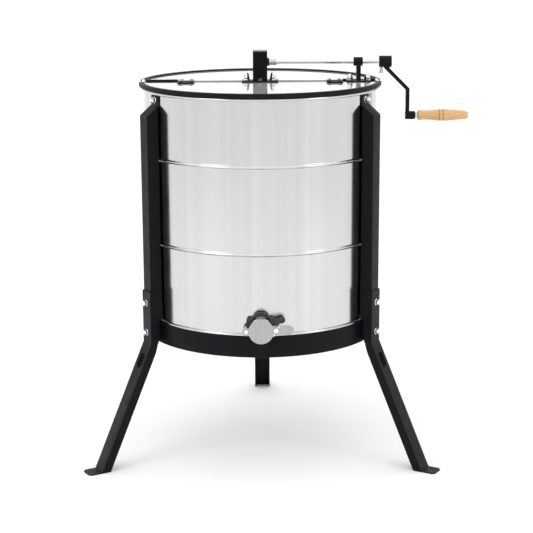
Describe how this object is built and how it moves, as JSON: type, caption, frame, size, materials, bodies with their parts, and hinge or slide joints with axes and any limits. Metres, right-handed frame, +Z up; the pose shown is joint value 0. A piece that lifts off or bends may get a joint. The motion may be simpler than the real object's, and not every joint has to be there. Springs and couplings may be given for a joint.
{
  "type": "honey extractor",
  "caption": "Upright hand-cranked honey extractor: round steel drum on splayed legs, framed spinning basket, clear hinged lid, side crank and low outlet gate.",
  "frame": {"origin": "centre of the foot bolt circle, on the ground under the drum's axis", "axes": "+Z up along the drum's axis, -Y towards the honey gate, +X towards the crank"},
  "size_m": [0.9294, 0.831, 0.9876],
  "materials": {
    "polished_steel": "bright rolled stainless sheet and plated hardware",
    "satin_steel": "satin stainless steel",
    "black_paint": "satin-gloss black powder coat",
    "bearing_steel": "ground and oiled steel",
    "dark_casting": "dark grey cast metal",
    "black_plastic": "black moulded plastic",
    "clear_sheet": "clear polished acrylic sheet",
    "grip_beech": "lacquered beech with two burnt rings",
    "zinc_washer": "bluish zinc plate"
  },
  "bodies": {
    "stand": {"drum_wall": "polished_steel", "gate_body": "polished_steel", "leg_bolts": "polished_steel", "leg_top_nuts": "polished_steel", "crossbar_end_nuts": "polished_steel", "bridge_cap_nuts": "polished_steel", "drum_floor": "satin_steel", "crossbar": "satin_steel", "mast_top_screw": "satin_steel", "rear_panel_screws": "satin_steel", "hinge_bolts": "satin_steel", "hinge_pins": "satin_steel", "gate_studs": "satin_steel", "base_ring": "black_paint", "ring_brackets": "black_paint", "leg_post_left": "black_paint", "leg_post_right": "black_paint", "leg_post_rear": "black_paint", "leg_foot_left": "black_paint", "leg_foot_right": "black_paint", "leg_foot_rear": "black_paint", "gear_mast": "black_paint", "shaft_bracket": "black_paint", "thrust_lower_race": "bearing_steel", "thrust_balls": "bearing_steel", "top_bearing_housing": "dark_casting", "bottom_bearing_cup": "dark_casting", "gate_yoke": "dark_casting", "crossbar_seal_strips": "black_plastic", "crank_bush": "black_plastic", "rear_panel_trim": "black_plastic", "hinge_fixed_leaves": "black_plastic", "rear_panel": "clear_sheet"},
    "basket": {"basket_shaft": "satin_steel", "basket_pinion": "bearing_steel", "shaft_lock_collar": "satin_steel", "thrust_upper_race": "bearing_steel", "basket_top_spider": "satin_steel", "basket_top_loops": "satin_steel", "basket_bottom_spider": "satin_steel", "basket_posts": "satin_steel", "basket_guard_rods": "satin_steel", "frame_screen_left": "satin_steel", "frame_screen_right": "satin_steel", "frame_screen_front": "satin_steel", "frame_screen_rear": "satin_steel"},
    "crank": {"crank_shaft": "polished_steel", "shaft_collar": "satin_steel", "crank_gear": "bearing_steel", "crank_arm": "black_paint", "grip_axle": "satin_steel", "grip_washer": "zinc_washer"},
    "grip": {"wood_grip": "grip_beech"},
    "thumb_screw": {"thumb_screw": "satin_steel"},
    "front_flap": {"front_flap": "clear_sheet", "front_flap_trim": "black_plastic", "hinge_flap_leaves": "black_plastic", "flap_leaf_screws": "black_paint"},
    "gate_blade": {"gate_blade": "satin_steel"},
    "gate_wing_nut": {"gate_wing_nut": "polished_steel"}
  },
  "joints": [
    {"name": "basket_spin", "type": "hinge", "parent": "stand", "child": "basket", "pos_m": [0, 0, 0.6], "axis": [0, 0, 1], "continuous": true},
    {"name": "crank_spin", "type": "hinge", "parent": "stand", "child": "crank", "pos_m": [0, 0, 0.955], "axis": [1, 0, 0], "continuous": true},
    {"name": "grip_spin", "type": "hinge", "parent": "crank", "child": "grip", "pos_m": [0.44, 0, 0.825], "axis": [1, 0, 0], "continuous": true},
    {"name": "thumb_screw_turn", "type": "hinge", "parent": "crank", "child": "thumb_screw", "pos_m": [0.2915, 0, 0.935], "axis": [0, 0, 1], "continuous": true},
    {"name": "flap_hinge", "type": "hinge", "parent": "stand", "child": "front_flap", "pos_m": [0, -0.027, 0.908], "axis": [-1, 0, 0], "range_deg": [0, 92]},
    {"name": "gate_swing", "type": "hinge", "parent": "stand", "child": "gate_blade", "pos_m": [-0.034, -0.329, 0.3745], "axis": [0, -1, 0], "range_deg": [0, 110]},
    {"name": "wing_nut_turn", "type": "hinge", "parent": "stand", "child": "gate_wing_nut", "pos_m": [0.0345, -0.335, 0.379], "axis": [0, -1, 0], "continuous": true}
  ],
  "couplings": [
    {"joint": "crank_spin", "follows": "basket_spin", "ratio": 0.5}
  ]
}
